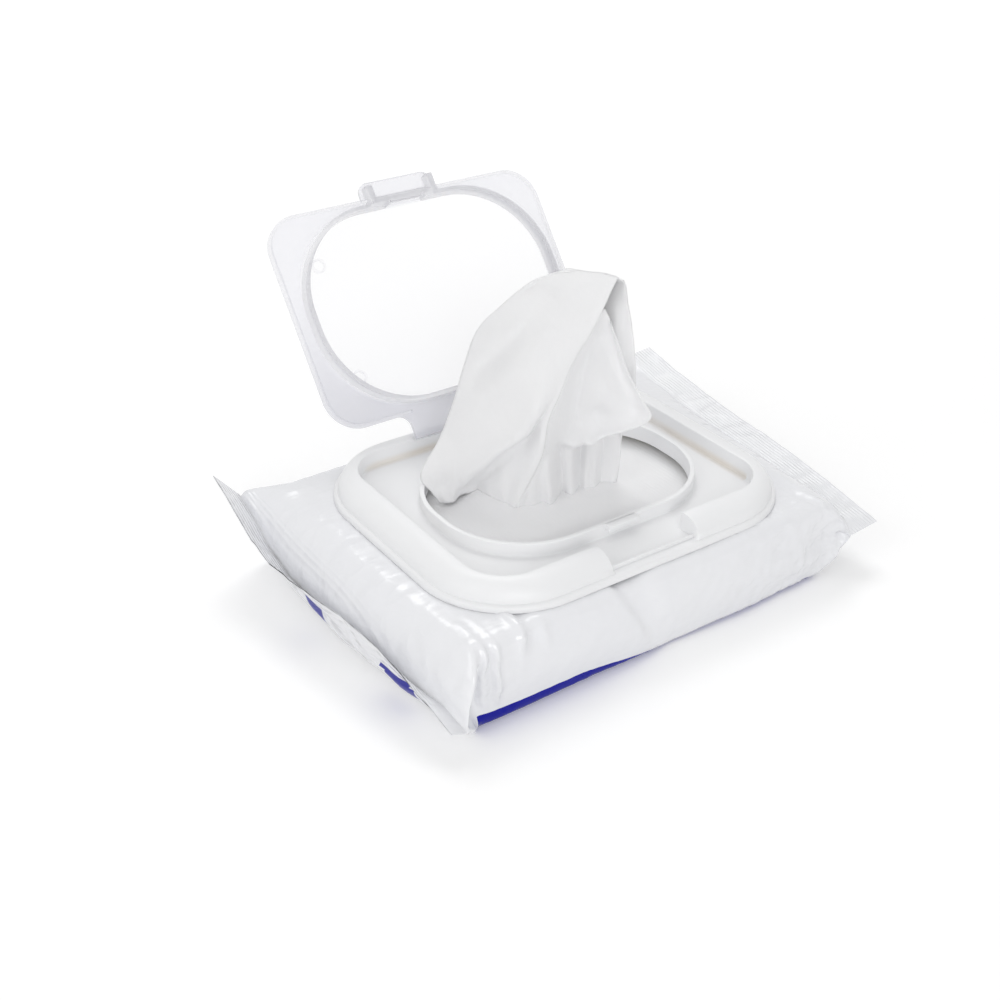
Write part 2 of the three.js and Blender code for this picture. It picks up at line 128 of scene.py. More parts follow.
def grid_faces(rows, columns, looped_columns=False, start=0, flip=False):
    faces = []
    span = columns if looped_columns else columns - 1
    for i in range(rows - 1):
        for j in range(span):
            a = start + i * columns + j
            b = start + i * columns + (j + 1) % columns
            c = start + (i + 1) * columns + (j + 1) % columns
            d = start + (i + 1) * columns + j
            faces.append((a, d, c, b) if flip else (a, b, c, d))
    return faces


# Film pouch: the share of a side that each rounded edge takes, the half sizes of the film cut away under
# the dispenser, a seal's lowest height, half the thickness of its fin, and the length with the closest points
SIDE_CORNER = 0.22
HIDDEN_X, HIDDEN_Y = 40, 30
LOWEST_SEAL = 0.9
HALF_FIN = 0.16
END_LENGTH = 18

# The two printed marks on the left end: how far in from the seal they reach, and their ends across the packet
PRINTED_MARKS = [(2.2, -30.6, -20.2), (1.1, 4.0, 12.6)]


def seal_line(seal, y):
    """Height of the seal's outer edge across the packet."""
    across = 2 * y / SEAL_WIDTH
    start = 2 * seal["rise_from"] / SEAL_WIDTH
    drop = seal["drop"] * clamp01(-across) ** seal["fall"]
    rise = seal["rise"] * clamp01((across - start) / (1 - start)) ** 1.4
    return seal["height"] - drop + rise


def film_heights(x, y):
    """Heights of the lower and the upper film."""
    seal = LEFT if x < 0 else RIGHT
    out = seal["half"] - abs(x)
    tilt = seal["tilt"] * (1 - 0.75 * smooth((-y - 22) / 22)) if x < 0 else seal["tilt"]
    root = max(seal_line(seal, y) - tilt, LOWEST_SEAL)
    fin = (seal_line(seal, y) - root) * clamp01(-out / seal["run"])
    flat = 1 - (1 - clamp01(out / seal["shoulder"])) ** seal["power"]
    rise = flat ** (1 / seal["power"])
    top = root + HALF_FIN + (PACKET_HEIGHT - root - HALF_FIN) * rise + fin
    fall = math.sqrt(max(0.0, 1 - (1 - clamp01(out / seal["heel"])) ** 2))
    bottom = (root - HALF_FIN) * (1 - fall) + fin
    return bottom, top


def section_places():
    """Places round one cross-section: (kind, value), walked from the front lower corner."""
    places = [("bottom", 2 * k / 44 - 1) for k in range(45)]
    places += [("side+", k / 30) for k in range(1, 30)]
    places += [("top", 1 - 2 * k / 96) for k in range(97)]
    places += [("side-", k / 30) for k in range(1, 30)]
    return places


def rounded_side(up, radius, height):
    """Share of the height and inset at a place on the rounded side, or None on its straight middle."""
    corner = SIDE_CORNER
    if corner <= up <= 1 - corner:
        return None
    low = up < corner
    angle = (up if low else 1 - up) / corner * math.pi / 2
    share = radius / height * (1 - math.cos(angle))
    return (share if low else 1 - share), radius * (1 - math.sin(angle))


def film_point(x, place):
    """One point of the smooth film: x along the packet, and a place round its cross-section."""
    kind, value = place
    seal = LEFT if x < 0 else RIGHT
    out = seal["half"] - abs(x)
    spread = smooth(1 - out / 13)
    to_front = kind == "side-" or (kind in ("bottom", "top") and value < 0)
    half = PACKET_WIDTH / 2 + spread * (seal["flare"] if to_front else (SEAL_WIDTH - PACKET_WIDTH) / 2)
    tuck = seal["tuck"] * smooth(1.5 - out / 12) * smooth(out / 1.5)
    low0, high0 = film_heights(x, 0)
    radius = min(EDGE_RADIUS, (high0 - low0) / 2 - 0.01)
    if kind in ("bottom", "top"):
        y = (half - radius) * value
        share = 0.0 if kind == "bottom" else 1.0
    else:
        direction = 1 if kind == "side+" else -1
        up = value if direction > 0 else 1 - value
        rounded = rounded_side(up, radius, high0 - low0)
        if rounded:
            share, inset = rounded
            y = direction * (half - inset)
        else:
            along = (up - SIDE_CORNER) / (1 - 2 * SIDE_CORNER)
            edge = radius / (high0 - low0)
            share = edge + (1 - 2 * edge) * along
            fold = 1 - abs(2 * along - 1)
            bulge = SIDE_BULGE * math.sin(math.pi * along) * clamp01(out / 13)
            y = direction * (half + bulge - tuck * fold)
    low, high = film_heights(x, y)
    z = low + (high - low) * share
    up_the_fin = clamp01(-out / seal["run"])
    share = 0.8 * (1 - smooth(out / 17)) + 0.2 * up_the_fin
    skew = seal["corner"] * clamp01(-y / half) ** 1.3 * share
    skew += seal["lean"] * bump_at(y, -12, 22) * up_the_fin
    return [x - seal["side"] * skew, y, z]


def ridge(point, scale, seed):
    """Noise with sharp crests, like creased film."""
    value = noise.noise(Vector((point[0] * scale + seed, point[1] * scale - seed, point[2] * scale)))
    return 1 - abs(value) * 2.4


def crumple(point):
    """How far the film stands out of its smooth shape, in millimetres: most near the seals and in the right
    half of the front face, nothing under the dispenser's flange."""
    x, y, z = point
    out = (LEFT if x < 0 else RIGHT)["half"] - abs(x)
    front = smooth((-y - 30) / 10)
    back = smooth((y - 30) / 10)
    near_seal = smooth(1 - (out - 2) / 24) * smooth(out / 3 + 0.6)
    right_front = front * smooth((x - 5) / 45)
    low_end = smooth((18 - z) / 10)
    amount = 0.06 + (0.08 + 0.5 * low_end) * near_seal + 0.75 * right_front + 0.25 * front + 0.2 * back
    if z > PACKET_HEIGHT - 0.6 and abs(y) < 36 and abs(x) < 48:
        amount = 0.0
    stretched = (x * 0.35, y, z)
    value = 0.55 * ridge(stretched, 0.085, 3.1) + 0.3 * ridge((x, y * 0.6, z * 1.2), 0.21, 9.7)
    value += 0.12 * ridge(point, 0.5, 5.3) - 0.55
    return amount * value


def end_stations(seal):
    """Places along the packet from one end to its middle, closest together at the seal."""
    half = seal["half"]
    crimp = [half + seal["run"] * (1 - k / 24) for k in range(24)]
    shoulder = [half - END_LENGTH * (k / 44) ** 1.25 for k in range(45)]
    middle = [(half - END_LENGTH) * (1 - k / 60) for k in range(1, 61)]
    return crimp + shoulder + middle


def grid_normals(pts):
    along = np.zeros_like(pts)
    along[1:-1] = pts[2:] - pts[:-2]
    along[0], along[-1] = pts[1] - pts[0], pts[-1] - pts[-2]
    around = np.roll(pts, -1, axis=1) - np.roll(pts, 1, axis=1)
    normal = np.cross(around, along)
    return normal / np.maximum(np.linalg.norm(normal, axis=2, keepdims=True), 1e-9)


def crumple_film(pts, normal, stations):
    """Pushes the film in and out, and waves both layers of each crimped band together."""
    for i, x in enumerate(stations):
        out = (LEFT if x < 0 else RIGHT)["half"] - abs(x)
        for j in range(pts.shape[1]):
            px, py, pz = pts[i, j]
            push = crumple((px, py, pz))
            if out < 1.5:
                lift = 0.55 * noise.noise(Vector((px * 0.03, py * 0.11, 4.2 if x < 0 else 8.4)))
                lift += 0.25 * noise.noise(Vector((px * 0.1, py * 0.32, 2.2)))
                band = smooth(1.2 - out / 1.5)
                pts[i, j, 2] += lift * (1.6 if x < 0 else 0.7) * band
                push *= 1 - band
            if pz < 0.4 and abs(py) < PACKET_WIDTH / 2 - 3 and out > 14:
                push = 0.0
            pts[i, j] += normal[i, j] * push


def under_dispenser(centre):
    inside = abs(centre[0]) < HIDDEN_X and abs(centre[1]) < HIDDEN_Y
    return inside and centre[2] > PACKET_HEIGHT - 1.5


def is_printed(kind, inward, y):
    """Whether a face of the outer layer lies in one of the printed marks."""
    return kind == "bottom" and any(
        -0.3 < inward < reach and start < y < end for reach, start, end in PRINTED_MARKS)


def film_piece():
    stations = [-x for x in end_stations(LEFT)] + end_stations(RIGHT)[::-1][1:]
    places = section_places()
    rows, columns = len(stations), len(places)
    pts = np.array([[film_point(x, place) for place in places] for x in stations])
    normal = grid_normals(pts)
    crumple_film(pts, normal, stations)
    front_creases(pts, normal, stations)
    pts[:, :, 2] = np.maximum(pts[:, :, 2], 0.02)
    points = pts.reshape(-1, 3).tolist()
    faces, printed = [], []
    for index, face in enumerate(grid_faces(rows, columns, looped_columns=True)):
        centre = np.mean([points[k] for k in face], axis=0)
        if under_dispenser(centre):
            continue
        row, column = divmod(index, columns)
        faces.append(face)
        printed.append(is_printed(places[column][0], LEFT["half"] + stations[row], centre[1]))
    obj = make_object("film_wrap", points, faces, "packet")
    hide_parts("film_pouch")
    return obj, printed


def front_creases(pts, normal, stations):
    """The dents and the star-shaped pinch in the front face's upper edge."""
    for i, x in enumerate(stations):
        for j in range(pts.shape[1]):
            px, py, pz = pts[i, j]
            if py > -34:
                continue
            up = pz / PACKET_HEIGHT
            star = 1.0 * bump_at(px, -41 - 2.5 * (1 - up), 1.0) * bump_at(up, 0.9, 0.16)
            star -= 0.8 * bump_at(px, -38.5, 1.5) * bump_at(up, 0.86, 0.12)
            star += 0.5 * bump_at(px, -35.5 + 3 * (1 - up), 1.0) * bump_at(up, 0.84, 0.12)
            slope = -15 + 14 * (1 - up)
            dent = -1.0 * smooth((px - slope + 1) / 3.2) * smooth((-1 + 6 * (1 - up) - px) / 9)
            dent *= smooth(up / 0.45)
            wander = 0.8 * noise.noise(Vector((0.0, 3.3, pz * 0.35)))
            corner = 0.9 * bump_at(px, -51.6 + wander, 0.8) - 0.7 * bump_at(px, -50.0 + wander, 0.9)
            corner += 0.9 * bump_at(px, -48.4 + wander, 0.7)
            corner *= smooth((up - 0.22) / 0.2) * smooth((1.05 - up) / 0.2)
            pts[i, j] += normal[i, j] * (star + dent + corner)


# Dispenser base: one skin of rings, from the window's edge out to the flange. Places along the front and
# back edges where the outlines need points: the ends of the rim's arms, and the ends of the hinge's seat.
ARM_END = 13.1
FRONT_X = [0, 3, 6, 9, 11, 12, 12.5, 12.8, ARM_END]
BACK_X = [0, 5, 10, 15, 19, 20.8, 21.1, 21.5]

# Half widths of the latch gap and of the hinge's seat, then the seat's back and depth
GAP_HALF = 12.45
SEAT_HALF = 21.45
SEAT_BACK = 36.2
SEAT_DEPTH = 0.85

# The roundings, and the shares of a wall or a floor that they take
RING_ROUND = 0.3
ROUND_SHARE = 0.23
FILLET = 0.5
FILLET_SHARE = 0.06
WALL_SHARE = 0.05
RIM_ROUND = 0.45

# The catch lug on the ring, and the low rib in the latch gap: their ends along x, y and z
LUG = ((-4.7, 4.7), (-28.55, -26.2), (DECK + 1.9, DECK + RING_HEIGHT))
GAP_RIB = ((-14, 14), (-39.3, -38.5), (DECK - 0.45, DECK + 0.9))
BLOCK_BEVEL = 0.25


def base_outline(length, width, radius, centre_y=0.0):
    """Points walked counter-clockwise from the front middle, with equal counts for every outline."""
    hx, hy = length / 2, width / 2
    sx = hx - radius
    turns = [math.pi / 2 * k / 20 for k in range(21)]
    front = FRONT_X + [ARM_END + (sx - ARM_END) * k / 6 for k in range(1, 6)]
    right = [(x, -hy) for x in front]
    right += [(sx + radius * math.sin(a), -hy + radius * (1 - math.cos(a))) for a in turns]
    right += [(hx, -hy + radius + (width - 2 * radius) * k / 12) for k in range(1, 12)]
    right += [(sx + radius * math.cos(a), hy - radius + radius * math.sin(a)) for a in turns]
    scale = min(1.0, sx / 23)
    back = [x * scale for x in BACK_X]
    right += [(sx + (back[-1] - sx) * k / 4, hy) for k in range(1, 4)]
    right += [(x, hy) for x in reversed(back)]
    left = [(-x, y) for x, y in reversed(right[1:-1])]
    return [(x, y + centre_y) for x, y in right + left]


def mix_outline(a, b, share):
    """The outline at a share of the way from a to b."""
    return [(p[0] + (q[0] - p[0]) * share, p[1] + (q[1] - p[1]) * share) for p, q in zip(a, b)]


def grown(size, by):
    """A rounded rectangle's size, moved out by a distance on every side."""
    length, width, radius = size
    return length + 2 * by, width + 2 * by, radius + by


def quarter(steps, start=0):
    """Sine and cosine along a quarter turn."""
    angles = [math.pi / 2 * k / steps for k in range(start, steps + 1)]
    return [(math.sin(a), math.cos(a)) for a in angles]


def ring_rows(ring_in, ring_out):
    """The window's edge and the sealing ring with its rounded top."""
    shoulder = DECK + RING_HEIGHT - RING_ROUND
    rows = [(ring_in, DECK - FLANGE, False), (ring_in, DECK, False), (ring_in, shoulder, False)]
    for sine, cosine in quarter(4, 1):
        outline = mix_outline(ring_in, ring_out, ROUND_SHARE * (1 - cosine))
        rows.append((outline, shoulder + RING_ROUND * sine, False))
    for sine, cosine in quarter(4):
        outline = mix_outline(ring_in, ring_out, 1 - ROUND_SHARE * (1 - sine))
        rows.append((outline, shoulder + RING_ROUND * cosine, False))
    rows.append((ring_out, DECK + FILLET, False))
    return rows


def recess_rows(ring_out, recess):
    """The sunk floor, with a fillet at the ring and one at the rim's wall."""
    rows = []
    for sine, cosine in quarter(3, 1):
        outline = mix_outline(ring_out, recess, FILLET_SHARE * (1 - cosine))
        rows.append((outline, DECK + FILLET * (1 - sine), False))
    for share in (0.3, 0.6, 0.85):
        rows.append((mix_outline(ring_out, recess, share), DECK, False))
    for sine, cosine in quarter(3):
        outline = mix_outline(ring_out, recess, 1 - WALL_SHARE * (1 - sine))
        rows.append((outline, DECK + FILLET * (1 - cosine), True))
    return rows


def rim_rows(recess, edge):
    """The raised rim: a rounded inner edge and a long fall to the outside."""
    shoulder = DECK + RIM_HEIGHT - RIM_ROUND
    rows = [(recess, shoulder, True)]
    for sine, cosine in quarter(4, 1):
        outline = mix_outline(recess, edge, FILLET_SHARE * (1 - cosine))
        rows.append((outline, shoulder + 0.42 * sine, True))
    for share in (0.12, 0.22, 0.35, 0.48, 0.6, 0.7, 0.8, 0.87, 0.92, 0.96, 0.985, 1.0):
        outline = mix_outline(recess, edge, share)
        rows.append((outline, DECK + RIM_HEIGHT * (1 - share ** 2.6) ** 0.62, True))
    return rows


def lip_rows(edge, lip):
    """The thin flange round the rim, down to the film."""
    foot = PACKET_HEIGHT + 0.12
    return [
        (mix_outline(edge, lip, 0.5), DECK - 0.12, False),
        (mix_outline(edge, lip, 0.85), DECK - 0.45, False),
        (lip, DECK - FLANGE, False),
        (lip, foot, False),
        (mix_outline(edge, lip, 0.3), foot, False),
    ]


def rim_height(x, y, z):
    """The rim is open at the front between its two arms, and has a seat for the hinge at the back."""
    height = z
    if y < 0:
        open_share = 1 - smooth((abs(x) - GAP_HALF) / 0.75)
        height = DECK + (z - DECK) * (1 - open_share)
    if 0 < y < 37 and z > DECK + 3.2:
        seat = smooth((SEAT_HALF - abs(x)) / 0.6) * smooth((SEAT_BACK - y) / 1.6)
        height = min(height, z - SEAT_DEPTH * seat)
    return height


def base_piece():
    ring_in = base_outline(*grown(RING, -RING_WALL), RING_OFFSET)
    ring_out = base_outline(*RING, RING_OFFSET)
    recess = base_outline(*RECESS)
    edge = base_outline(*BASE)
    lip = base_outline(*grown(BASE, FLANGE_LIP))
    rows = ring_rows(ring_in, ring_out) + recess_rows(ring_out, recess)
    rows += rim_rows(recess, edge) + lip_rows(edge, lip)
    rows.append((ring_in, DECK - FLANGE, False))
    points = []
    for outline, z, on_rim in rows:
        points += [(x, y, rim_height(x, y, z) if on_rim else z) for x, y in outline]
    faces = grid_faces(len(rows), len(ring_in), looped_columns=True, flip=True)
    add_block(points, faces, LUG)
    add_block(points, faces, GAP_RIB)
    obj = make_object("dispenser_frame", points, faces, "packet", smooth_angle=38)
    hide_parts("dispenser_base")
    return obj


def add_block(points, faces, ends):
    """A block with softened edges, added to the points and faces."""
    mesh = bmesh.new()
    bmesh.ops.create_cube(mesh, size=1)
    for vert in mesh.verts:
        vert.co = [pair[0] if value < 0 else pair[1] for pair, value in zip(ends, vert.co)]
    bmesh.ops.bevel(mesh, geom=mesh.edges[:], offset=BLOCK_BEVEL, segments=3, profile=0.5, affect="EDGES")
    start = len(points)
    mesh.verts.ensure_lookup_table()
    points.extend(tuple(v.co) for v in mesh.verts)
    faces.extend(tuple(start + v.index for v in face.verts) for face in mesh.faces)
    mesh.free()


# Lid: the moulded solid with its edges softened, in metres
LID_BEVEL = 0.00016
MERGE_WITHIN = 1e-6


def lid_piece():
    source = nodes["lid"]
    mesh = source.data.copy()
    obj = bpy.data.objects.new("lid_shell", mesh)
    bpy.context.scene.collection.objects.link(obj)
    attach(obj, "lid")
    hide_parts("lid")
    work = bmesh.new()
    work.from_mesh(mesh)
    bmesh.ops.remove_doubles(work, verts=work.verts, dist=MERGE_WITHIN)
    bmesh.ops.dissolve_limit(work, angle_limit=math.radians(1.0), verts=work.verts, edges=work.edges)
    sharp = [e for e in work.edges if len(e.link_faces) == 2 and e.calc_face_angle(0) > math.radians(50)]
    bmesh.ops.bevel(work, geom=sharp, offset=LID_BEVEL, segments=2, profile=0.5, affect="EDGES",
                    clamp_overlap=True)
    bmesh.ops.triangulate(work, faces=[f for f in work.faces if len(f.verts) > 4])
    work.to_mesh(mesh)
    work.free()
    for poly in mesh.polygons:
        poly.use_smooth = True
    mesh.set_sharp_from_angle(angle=math.radians(35))
    even = obj.modifiers.new("even_shading", "WEIGHTED_NORMAL")
    even.keep_sharp = True
    return obj


# Stack of folded wipes: its corners, and the swelling of its top layer in the window
STACK_CORNER = 5.0
SWELL_HEIGHT = 1.35
SWELL_HALF_X, SWELL_HALF_Y = 34.0, 23.5


def stack_outline(shrink, z):
    points = []
    hx, hy, radius = STACK_LENGTH / 2 - shrink, STACK_WIDTH / 2 - shrink, STACK_CORNER
    for side_x, side_y, start in ((1, -1, -90), (1, 1, 0), (-1, 1, 90), (-1, -1, 180)):
        for k in range(13):
            angle = math.radians(start + 90 * k / 12)
            x = side_x * (hx - radius) + radius * math.cos(angle)
            y = side_y * (hy - radius) + radius * math.sin(angle)
            points.append((x, y, z))
    return points


def layer_rings():
    """The folded edge of each layer, from the bottom up."""
    step = (STACK_TOP - STACK_BOTTOM) / STACK_LAYERS
    rings = [stack_outline(1.6, STACK_BOTTOM)]
    for i in range(STACK_LAYERS):
        outer = 0.8 if i in (0, STACK_LAYERS - 1) else 0.2 * math.sin(i * 2.3) ** 2
        rings.append(stack_outline(outer + 0.12, STACK_BOTTOM + step * (i + 0.2)))
        rings.append(stack_outline(outer, STACK_BOTTOM + step * (i + 0.5)))
        rings.append(stack_outline(outer + 0.12, STACK_BOTTOM + step * (i + 0.8)))
        if i < STACK_LAYERS - 1:
            rings.append(stack_outline(outer + 0.5, STACK_BOTTOM + step * (i + 1)))
    return rings


def top_ring(base_ring, share):
    """One ring of the top layer, which swells up into the window, with soft folds and a crease."""
    ring = []
    for x, y, z in base_ring:
        px, py = x * share, RING_OFFSET * (1 - share) + y * share
        swell = smooth((1.0 - math.hypot(px / SWELL_HALF_X, (py - RING_OFFSET) / SWELL_HALF_Y)) * 3.4)
        fold = 0.16 * noise.noise(Vector((px * 0.06, py * 0.11, 1.7)))
        fold += 0.05 * noise.noise(Vector((px * 0.25, py * 0.3, 6.1)))
        crease = -0.14 * bump_at(py, 9 + 0.05 * px, 0.8)
        ring.append((px, py, z + SWELL_HEIGHT * swell + (fold + crease) * min(1, swell * 1.4)))
    return ring


def stack_piece():
    base_ring = stack_outline(1.6, STACK_TOP - 0.05)
    rings = layer_rings() + [top_ring(base_ring, 1 - k / 30.5) for k in range(31)]
    points = [point for ring in rings for point in ring]
    count = len(base_ring)
    faces = grid_faces(len(rings), count, looped_columns=True)
    faces.append(tuple(reversed(range(count))))
    faces.append(tuple(range(len(points) - count, len(points))))
    obj = make_object("wipe_pad", points, faces, "packet")
    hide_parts("wipe_stack")
    return obj


# Pulled wipe: cloth panels through guide points, in rows of five from one end of the panel to the other.
# A point is (across, to the right as the camera sees it; up from the deck; away from the camera).

FRONT_PANEL = [
    [(-29.2, -1.9, -6), (-25.2, -1.9, -4.5), (-19.3, -1.9, -5), (-14.0, -1.9, -8), (-10.3, -1.9, -9)],
    [(-31.1, 1.4, -6.5), (-27.2, 2.6, -5.5), (-20.2, 4.4, -6.5), (-13.1, 4.5, -9), (-7.5, 3.9, -9)],
    [(-33.9, 5.7, -5), (-26.1, 8.4, -6), (-18.2, 11.6, -7.5), (-10.6, 12.8, -9), (-3.4, 13.1, -8)],
    [(-29.2, 13.2, 0), (-22, 16.6, -4), (-15.2, 20.5, -7), (-8.2, 22.2, -9), (-2.1, 22.5, -8)],
    [(-25.5, 22.4, 3), (-18.9, 26, -2), (-11.8, 29.5, -6), (-5, 30.9, -9), (0.4, 29.5, -8)],
    [(-23.1, 29.9, 6), (-16.4, 33.6, 0), (-9.7, 36.7, -6), (-2.9, 37.8, -8), (3.5, 37.8, -7)],
    [(-19.6, 40.1, 6), (-13.6, 42.6, 1), (-6.7, 44.6, -4), (0.5, 45.1, -6), (7.6, 45.1, -6)],
    [(-13.7, 46.6, 6), (-8.3, 48.6, 2), (-2.1, 50, -2), (4.3, 50.5, -4), (10.2, 50.5, -5)],
    [(-6.8, 52.6, 6), (-2.2, 53.7, 3), (2.5, 54.7, 0), (7.7, 54.8, -2), (12.2, 54.6, -3)],
    [(0.3, 55.6, 6), (3.9, 56.6, 4), (7.2, 57, 2), (10.7, 57, 1), (13.8, 56.4, 0)],
]
HOOD_PANEL = [
    [(10.5, 50, -4), (11, 48.7, -3), (11.5, 47.7, -3), (12.1, 46.4, -3), (12.6, 45.1, -3)],
    [(7.6, 44.6, -5), (9.3, 42.8, -2), (11.1, 41.5, -1), (12.8, 41, -2), (14.5, 40.4, -4)],
    [(3.8, 37.2, -6), (6.8, 34.1, -1), (10, 32.5, 1), (13.4, 32.5, 0), (17, 33.5, -4)],
    [(0.2, 28.2, -7), (4.4, 24.3, -1), (9.4, 22.1, 2), (14.9, 22.4, 1), (21, 26.3, -5)],
    [(-1.7, 21.9, -7), (2.6, 18.3, -2), (8.2, 15.4, 1), (15.1, 17.1, 0), (22.9, 22.4, -6)],
    [(-2.6, 17.8, -7), (1.7, 14.4, -3), (7.3, 12.1, -2), (12.2, 14, -1), (20.1, 17.7, -2)],
    [(-3.2, 14.4, -7), (1.3, 11, -2), (7.1, 10.3, 4), (12.4, 12, 5), (17.4, 13.7, 6)],
    [(-4.1, 10, -8), (0.4, 6.4, -4), (6, 4.4, 3), (11.6, 5.2, 4), (17, 6.3, 5)],
    [(-6.5, 3.7, -8), (-0.4, 1.8, -6), (5.5, 0.8, 0), (11.1, 1.2, 3), (16.6, 1.3, 4)],
    [(-9.0, -1.9, -8), (-1.4, -1.9, -6), (5.2, -1.9, -1), (10.9, -1.9, 2), (16.1, -1.9, 4)],
]
INNER_PANEL = [
    [(9.7, 53.7, 4), (11.6, 54.4, 3), (13, 54.8, 2), (14.3, 55.5, 1), (15.2, 55.7, 0)],
    [(6.6, 46, 4), (9.5, 46.4, 2.5), (11.9, 46.9, 1.5), (14.2, 47.3, 0.5), (16.8, 48.3, 0)],
    [(2.9, 37, 5), (6.9, 37.5, 3), (10.8, 38, 1.5), (14.7, 38.4, 0), (18.2, 40.5, -0.5)],
    [(0.7, 28.3, 6), (5.7, 28.8, 4), (10.6, 29.3, 2.5), (15.1, 29.8, 1), (19.1, 32.5, -0.5)],
    [(-1.1, 19.2, 8), (5, 20, 6), (10.5, 20.8, 5), (14.9, 22.2, 3), (19.2, 26, 0)],
    [(-2, 10.6, 9), (3.7, 11.8, 8), (9.8, 13.2, 6.5), (14.3, 14.9, 5.5), (18.1, 19.4, 3)],
]
BACK_PANEL = [
    [(-29.2, -1.9, -6), (-18.0, -1.9, 6), (-6.0, -1.9, 8), (6.0, -1.9, 7), (16.1, -1.9, 4)],
    [(-31.1, 1.4, -6.5), (-20.0, 2.5, 8), (-6.0, 4, 11), (7.0, 4, 9), (16.8, 4, 5)],
    [(-33.9, 5.7, -5), (-20.5, 9, 9), (-6.0, 11, 13), (7.0, 10.5, 11), (17.2, 10, 6)],
    [(-29.2, 13.2, 0), (-18.0, 16, 10), (-5.0, 18, 13), (8.0, 18, 11), (18.2, 18, 5)],
    [(-25.5, 22.4, 3), (-14.0, 24, 10), (-3.0, 26, 13), (9.0, 26, 10), (19.1, 27, 3)],
    [(-23.1, 29.9, 6), (-12.0, 32, 11), (-1.0, 34, 12), (10.0, 34, 9), (18.6, 35, 2)],
    [(-19.6, 40.1, 6), (-8.0, 42, 10), (1.0, 43, 11), (10.0, 43, 7), (17.8, 43, 1)],
    [(-13.7, 46.6, 6), (-4.5, 48, 9), (3.0, 49, 9), (11.0, 49.5, 6), (16.4, 50, 0)],
    [(-6.8, 52.6, 6), (0.0, 53.4, 8), (5.5, 54, 8), (11.0, 54.4, 4), (15.6, 54.6, 0)],
    [(0.3, 55.6, 6), (3.9, 56.6, 4), (7.2, 57, 2), (10.7, 57, 1), (13.8, 56.4, 0)],
]
CAMERA_TURN = math.radians(-34.42)
ACROSS = Vector((math.cos(CAMERA_TURN), math.sin(CAMERA_TURN)))
AWAY = Vector((-ACROSS.y, ACROSS.x))
CLOTH_FOOT = 23.72
CLOTH_THICKNESS = 0.0003


def spline_row(values, count):
    """Catmull-Rom through the rows of values, evenly resampled."""
    values = np.asarray(values, dtype=float)
    n = len(values)
    padded = np.concatenate([[2 * values[0] - values[1]], values, [2 * values[-1] - values[-2]]])
    out = []
    for k in range(count):
        t = k / (count - 1) * (n - 1)
        i = min(int(t), n - 2)
        f = t - i
        p0, p1, p2, p3 = padded[i], padded[i + 1], padded[i + 2], padded[i + 3]
        out.append(0.5 * (2 * p1 + (p2 - p0) * f + (2 * p0 - 5 * p1 + 4 * p2 - p3) * f ** 2
                          + (3 * p1 - p0 - 3 * p2 + p3) * f ** 3))
    return np.array(out)


def drape_fold(across, up):
    """The flank's soft edge, which runs down to the lower left, and the hollow beside it."""
    line = np.interp(up, [0, 1.5, 8, 13.8, 18.4, 28.4, 40], [-25.5, -24.5, -19.0, -14.0, -7.5, -1.8, 3.0])
    crease = np.interp(up, [0, 4, 13, 22, 30, 38], [-9.0, -7.5, -3.4, -2.1, 0.4, 3.5])
    beside = across - line
    share = clamp01(beside / max(crease - line, 1.0))
    hollow = 4.2 * math.sin(math.pi * share ** 0.7) * min(1.0, (crease - line) / 5)
    crest = -1.3 * bump_at(beside, -2.0, 2.6)
    second = 1.3 * bump_at(beside, 6.0, 1.3) * smooth((12 - up) / 8)
    streak = 1.5 * bump_at(across, (up - 40) * 0.8 - 11, 2.4) * smooth((up - 22) / 10)
    dimple = 1.4 * bump_at(across, -6.0, 4.5) * bump_at(up, 51.5, 2.2)
    return (hollow + crest + second) * smooth((35 - up) / 14) + streak + dimple


def hood_fold(across, up):
    """The folds under the hood: one down from its peak, a rolled right edge, and gathers at the window."""
    gathers = 3.0 * bump_at(across, 2.0 - 0.1 * up, 1.3) - 1.6 * bump_at(across, -1.2 - 0.12 * up, 1.1)
    gathers += 2.4 * bump_at(across, 6.6 + 0.04 * up, 1.0) - 1.4 * bump_at(across, 4.4, 1.0)
    gathers += 1.4 * bump_at(across, 12.2 + 0.05 * up, 0.9) - 0.8 * bump_at(across, 9.6, 1.2)
    peak = 2.6 * bump_at(across, 3.6 + (up - 11.5) * 0.13, 2.2)
    peak *= smooth((up - 12) / 6) * smooth((44 - up) / 12)
    pocket = 2.4 * bump_at(across, 10.5, 3.4) * bump_at(up, 17.5, 3.6)
    edge = np.interp(up, [20, 26, 33.5, 40, 46], [20.5, 21.0, 17.0, 14.5, 12.4])
    rolled = 2.8 * smooth((across - edge + 4.0) / 4.5) * smooth((up - 18) / 5)
    return gathers * smooth((15 - up) / 6) + peak + pocket + rolled


def ripple(across, up, away, gather, seed):
    """Soft waves, fine waves, and tufts that grow towards the window."""
    soft = 0.9 * noise.noise(Vector((across * 0.10 + seed, up * 0.07, away * 0.05)))
    fine = 0.22 * noise.noise(Vector((across * 0.36, up * 0.26, seed)))
    swing = 2.4 * noise.noise(Vector((across * 0.22, seed, up * 0.03)))
    uneven = 0.7 + noise.noise(Vector((across * 0.5, up * 0.1, seed)))
    tufts = gather * smooth(1 - up / 16) * math.sin(across * 1.5 + swing) * uneven
    return soft + fine + tufts


